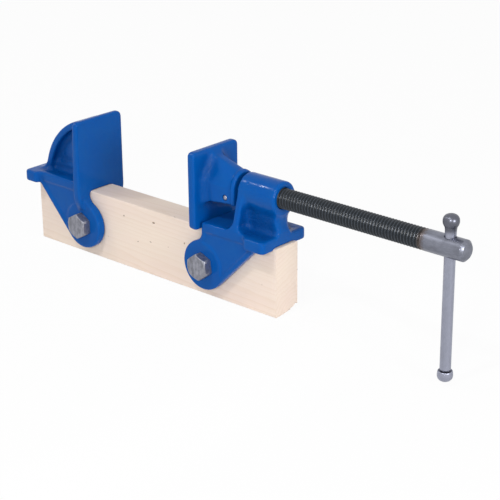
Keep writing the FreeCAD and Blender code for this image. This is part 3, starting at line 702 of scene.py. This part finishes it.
tommyLook = {
    "rod": 4.1,
    "peg": 3.1,
    "pegLength": 6.0,
    "knobLength": 15.0,
    "knob": [(-14.2, 4.11), (-13.0, 4.14), (-11.4, 4.2), (-10.2, 4.36), (-9.4, 4.58),
             (-8.6, 5.0), (-7.7, 5.5), (-6.6, 5.86), (-5.4, 6.0), (-4.2, 5.95), (-3.1, 5.7),
             (-2.1, 5.2), (-1.2, 4.4), (-0.5, 3.1), (-0.12, 1.6)],
    "segments": 64,
}

capLook = {
    "dome": [(0.12, 1.6), (0.55, 3.0), (1.3, 4.25), (2.3, 5.15), (3.4, 5.62)],
    "skirt": [(6.6, 5.66), (7.3, 5.62), (7.9, 5.52)],
    "bore": 3.2,
    "joint": 1.2,
    "segments": 64,
}

pinLook = {
    "radius": 2.0,
    "segments": 40,
}


# grain is the drawn lines' stretch along each axis, and patch the width of a stain.
def steelMaterial(name, look, grain, patch):
    bright, dull = look["bright"], look["dull"]
    material, tree, shader, place = startMaterial(name, Metallic=0.92)
    stain = noiseOf(tree, stretched(tree, place, (1, 1, 0.5)), patch, 5, 0.65)
    draw = noiseOf(tree, stretched(tree, place, grain), 0.5, 2, 0.5)
    colour = mixColours(tree, remap(tree, stain, 0.35, 0.72), bright, dull)
    colour = mixColours(tree, remap(tree, draw, 0.4, 0.8, 0.0, 0.25), colour, dull)
    # Darker over the knob: between the two depths below its top the colour mixes into a darker
    # grey.
    if "darkKnobFrom" in look:
        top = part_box("tommy_bar")[1].z
        start, end = (top - depth * millimetre for depth in look["darkKnobFrom"])
        height = addNode(tree, "ShaderNodeSeparateXYZ", {"Vector": place}).outputs["Z"]
        darkKnob = remap(tree, height, start, end, 0.0, look["darkKnobShare"])
        colour = mixColours(tree, darkKnob, colour, tuple(v * look["darkKnobScale"] for v in dull))
    connect(tree, shader.inputs["Base Color"], colour)
    rough = calculate(tree, "ADD", remap(tree, stain, 0.3, 0.7, *look["roughness"]),
                      remap(tree, draw, 0.3, 0.7, -0.03, 0.05))
    connect(tree, shader.inputs["Roughness"], rough)
    pits = bumpOf(tree, noiseOf(tree, place, 1.1, 3, 0.6), 0.05, 0.5)
    connect(tree, shader.inputs["Normal"], bumpOf(tree, draw, 0.02, 0.6, below=pits))
    return material


def makeTommyBar(material):
    look = tommyLook
    low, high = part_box("tommy_bar")
    centre = Vector(((low.x + high.x) / 2, 0, 0))
    bottom, top = low.z / millimetre, high.z / millimetre
    rod, peg = look["rod"], look["peg"]
    rodStart = bottom + look["pegLength"]
    rows = [(bottom, 0), (bottom, peg - 0.5), (bottom + 0.5, peg), (rodStart - 0.1, peg),
            (rodStart, rod)]
    rodLength = top - look["knobLength"] - rodStart
    rows += [(rodStart + rodLength * i / 60, rod) for i in range(1, 61)]
    rows += [(top + height, radius) for height, radius in look["knob"]]
    rows += [(top, 0)]
    mesh = spunMesh("tommyBar", rows, look["segments"], centre, (0, 0, 1), (1, 0, 0))
    return newPiece("tommy_rod", mesh, "tommy", "bright_steel", material, "tommy_bar")


# The cap is pressed over the peg, with a small open joint above it.
def makeTommyCap(material):
    look = capLook
    low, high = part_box("tommy_bar_cap")
    centre = Vector(((low.x + high.x) / 2, 0, low.z))
    outer = (high.x - low.x) / 2 / millimetre
    top = (high.z - low.z) / millimetre
    jointFloor = top - look["joint"]
    rows = [(0, 0), *look["dome"], (4.4, outer), (5.6, outer), *look["skirt"],
            (top - 0.15, 5.3), (top, 5.0), (top - 0.25, 4.72), (jointFloor + 0.2, 4.6),
            (jointFloor, 4.2), (jointFloor, look["bore"] + 0.05), (2.6, look["bore"]), (2.5, 0)]
    mesh = spunMesh("tommyCap", rows, look["segments"], centre, (0, 0, 1), (1, 0, 0))
    return newPiece("tommy_cap", mesh, "tommy", "bright_steel", material, "tommy_bar_cap")


def makePin(material):
    look = pinLook
    low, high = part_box("pad_retaining_pin")
    half = (high.y - low.y) / 2 / millimetre
    radius = look["radius"]
    end = [(half - 1.0, radius), (half - 0.5, radius - 0.2), (half - 0.12, radius / 2), (half, 0)]
    rows = [(-height, width) for height, width in reversed(end)] + end
    mesh = spunMesh("padPin", rows, look["segments"], axisPoint("pad_retaining_pin"),
                    (0, 1, 0), (1, 0, 0))
    return newPiece("pad_pin", mesh, "pad", "bright_steel", material, "pad_retaining_pin")


drawnSteel = steelMaterial("drawnSteel", steelLook, (1, 1, 0.06), 5.0)
makeTommyBar(drawnSteel)
makeTommyCap(drawnSteel)
makePin(drawnSteel)
print("steel parts made")


# Bolts and nuts: hexagons with turned corners, and the thread that shows past the nut

boltLook = {
    "flats": 19.0,
    "shank": 6.0,
    "pitch": 1.75,
    "threadDepth": 0.95,
    "plainLength": 30.0,
    "threadFrom": 48.0,
    "ridge": 0.93,
    "bevelRows": 5,
    "cornerTurned": 0.12,
    "segments": 96,
    "turn": {"fixed_head_bolt": 0.0, "screw_head_bolt": 8.0},
    "bright": (0.33, 0.335, 0.385),
    "dull": (0.14, 0.142, 0.165),
    "roughness": (0.36, 0.55),
}


# Distance from the axis to a hexagon's side, by angle, with its corners cut to a limit.
def hexRadius(flat, limit, turn):
    def radius(angle):
        local = (math.degrees(angle) - turn) % 60 - 30
        return min(flat / math.cos(math.radians(local)), limit)
    return radius


# Distance from the axis to a hexagon's corners, which the bevel's turning took a little off.
def cornerReach(flat):
    return flat / math.cos(math.radians(30)) - boltLook["cornerTurned"]


# Rows from a hexagon's end face out to its sides, over the turned 30 degree bevel.
# inward is -1 where the body lies below the end, and 1 where it lies above.
def hexEnd(flat, turn, top, inward):
    look = boltLook
    corner = cornerReach(flat)
    ridge = flat * look["ridge"]
    slope = math.tan(math.radians(30))
    rows = [(top, ridge - 0.35), (top + 0.05 * inward, ridge)]
    for i in range(1, look["bevelRows"] + 1):
        reach = ridge + (corner - ridge) * i / look["bevelRows"]
        side = hexRadius(flat, reach, turn)
        rows.append((top + (0.05 + (reach - ridge) * slope) * inward, side))
    return rows


# The head seats as far out on its cheek as the nut does on the other.
def boltRows(name):
    look = boltLook
    flat = look["flats"] / 2
    turn = look["turn"][name]
    head, tail = (-corner.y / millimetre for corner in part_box(name))
    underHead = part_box("fixed_head_nut")[0].y / millimetre
    rows = [(head, 0), (head, 3.0)] + hexEnd(flat, turn, head, -1)
    corner = cornerReach(flat)
    rows += [(underHead + 0.25, hexRadius(flat, corner, turn)),
             (underHead + 0.02, hexRadius(flat, corner - 0.2, turn)),
             (underHead + 0.01, flat * 0.96), (underHead, look["shank"]),
             (underHead - look["plainLength"], look["shank"])]
    step = look["pitch"] / 10
    threadTop = underHead - look["threadFrom"]
    count = int((threadTop - (tail + 1.0)) / step)
    for i in range(count + 1):
        height = threadTop - i * step

        def radius(angle, height=height):
            phase = (height / look["pitch"] + angle / (2 * math.pi)) % 1.0
            return look["shank"] - look["threadDepth"] * abs(2 * phase - 1) * 0.95
        rows.append((height, radius))
    rows += [(tail + 0.9, 5.1), (tail + 0.05, 4.6), (tail, 4.3), (tail, 0)]
    return rows


def makeBolt(name, material):
    mesh = spunMesh(name + "Mesh", boltRows(name), boltLook["segments"], axisPoint(name),
                    (0, -1, 0), (0, 0, 1))
    return newPiece(name + "_hex", mesh, "frame", "zinc_steel", material, name)


def makeNut(name, material):
    look = boltLook
    near, far = (corner.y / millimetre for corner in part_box(name))
    flat = look["flats"] / 2
    turn = look["turn"][name.replace("nut", "bolt")]
    hole = look["shank"] + 0.02
    rows = [(-near, hole)] + hexEnd(flat, turn, -near, -1)
    rows += [(-(near + far) / 2, hexRadius(flat, cornerReach(flat), turn))]
    rows += list(reversed(hexEnd(flat, turn, -far, 1)))
    rows += [(-far, 7.0), (-far + 0.8, hole)]
    mesh = spunMesh(name + "Mesh", rows, look["segments"], axisPoint(name), (0, -1, 0), (0, 0, 1),
                    hollow=True)
    return newPiece(name + "_hex", mesh, "frame", "zinc_steel", material, name)


zincSteel = steelMaterial("zincSteel", boltLook, (1, 1, 1), 2.6)
for boltName in ("fixed_head_bolt", "screw_head_bolt"):
    makeBolt(boltName, zincSteel)
for nutName in ("fixed_head_nut", "screw_head_nut"):
    makeNut(nutName, zincSteel)
print("bolts made")


# Studio: white surroundings, a pale floor and soft lamps

studio = {
    "ambient": 0.40,
    "floorWhite": 0.82,
    "cameraWhite": 0.95,
    "floorSize": 4.0,
    "stepStart": 0.150,
    "stepEnd": 0.235,
    "stepDrop": 0.012,
    "stepRows": 24,
    "aim": (0.05, 0, 0.06),
    "key": {"place": (0.83, -1.19, 0.68), "size": 0.20, "power": 7.5},
    "fill": {"place": (1.28, -0.22, 0.35), "size": 0.40, "power": 6.0},
    "crown": {"place": (0.15, -0.85, 1.35), "size": 0.13, "power": 6.0},
    "glint": {"place": (-0.88, -0.52, 1.10), "size": 0.14, "power": 2.6},
}


# 1 for rays that come straight from the camera, or by a reflection or through glass.
def whiteRays(tree):
    rays = addNode(tree, "ShaderNodeLightPath").outputs
    seen = calculate(tree, "MAXIMUM", rays["Is Camera Ray"], rays["Is Glossy Ray"])
    return calculate(tree, "MAXIMUM", seen, rays["Is Transmission Ray"])


def makeWorld():
    world = bpy.data.worlds.new("studioWhite")
    world.use_nodes = True
    tree = world.node_tree
    tree.nodes.clear()
    around = addNode(tree, "ShaderNodeBackground", {"Color": (1, 1, 1, 1)})
    connect(tree, around.inputs["Strength"],
            remap(tree, whiteRays(tree), 0.0, 1.0, studio["ambient"], 1.0))
    addNode(tree, "ShaderNodeOutputWorld", {"Surface": around.outputs[0]})
    bpy.context.scene.world = world


def floorMaterial():
    material = bpy.data.materials.new("paleFloor")
    material.use_nodes = True
    tree = material.node_tree
    tree.nodes.clear()
    matt = addNode(tree, "ShaderNodeBsdfDiffuse", {"Color": (*[studio["floorWhite"]] * 3, 1)})
    glow = addNode(tree, "ShaderNodeEmission", {"Color": (1, 1, 1, 1), "Strength": 1.0})
    share = calculate(tree, "MULTIPLY", whiteRays(tree), studio["cameraWhite"])
    mix = addNode(tree, "ShaderNodeMixShader", {0: share, 1: matt.outputs[0], 2: glow.outputs[0]})
    addNode(tree, "ShaderNodeOutputMaterial", {"Surface": mix.outputs[0]})
    return material


# Level under the bar, then a shallow step down that leaves the tommy bar's tip free.
def makeFloor():
    look = studio
    half = look["floorSize"] / 2
    start, length = look["stepStart"], look["stepEnd"] - look["stepStart"]
    xs = [-half, start]
    xs += [start + length * i / look["stepRows"] for i in range(1, look["stepRows"] + 1)]
    xs += [half]
    mesh = bmesh.new()
    edges = []
    for x in xs:
        share = min(1, max(0, (x - start) / length))
        drop = look["stepDrop"] * (3 - 2 * share) * share * share
        edges.append([mesh.verts.new((x, y, -drop)) for y in (-half, half)])
    for left, right in zip(edges, edges[1:]):
        mesh.faces.new((left[0], right[0], right[1], left[1]))
    result = bpy.data.meshes.new("floor")
    mesh.to_mesh(result)
    mesh.free()
    floor = bpy.data.objects.new("floor", result)
    floor.data.materials.append(floorMaterial())
    floor.data.polygons.foreach_set("use_smooth", [True] * len(result.polygons))
    bpy.context.scene.collection.objects.link(floor)


def makeLamp(name):
    look = studio[name]
    light = bpy.data.lights.new(name, "AREA")
    light.shape = "DISK"
    light.size = look["size"]
    light.energy = look["power"]
    lamp = bpy.data.objects.new(name, light)
    lamp.location = look["place"]
    aim = Vector(studio["aim"]) - lamp.location
    lamp.rotation_euler = aim.to_track_quat("-Z", "Y").to_euler()
    bpy.context.scene.collection.objects.link(lamp)


makeWorld()
makeFloor()
for lampName in ("key", "fill", "crown", "glint"):
    makeLamp(lampName)
print("studio made")


# Camera: solved from the photograph's own edges

cameraLook = {
    "azimuth": 42.059,
    "elevation": 21.645,
    "roll": -0.529,
    "lens": 112.44,
    "place": (0.84783, -0.83290, 0.48809),
}


def makeCamera():
    look = cameraLook
    azimuth, elevation, roll = (math.radians(look[k]) for k in ("azimuth", "elevation", "roll"))
    back = Vector((math.sin(azimuth) * math.cos(elevation),
                   -math.cos(azimuth) * math.cos(elevation), math.sin(elevation)))
    right = Vector((math.cos(azimuth), math.sin(azimuth), 0))
    upward = back.cross(right)
    rolledRight = right * math.cos(roll) + upward * math.sin(roll)
    rolledUp = upward * math.cos(roll) - right * math.sin(roll)
    data = bpy.data.cameras.new("photoCamera")
    data.lens = look["lens"]
    data.sensor_width = 36.0
    camera = bpy.data.objects.new("photoCamera", data)
    turn = Matrix((rolledRight, rolledUp, back)).transposed().to_4x4()
    camera.matrix_world = Matrix.Translation(look["place"]) @ turn
    bpy.context.scene.collection.objects.link(camera)
    bpy.context.scene.camera = camera


makeCamera()
bpy.context.scene.view_settings.view_transform = "Standard"
print("camera made")
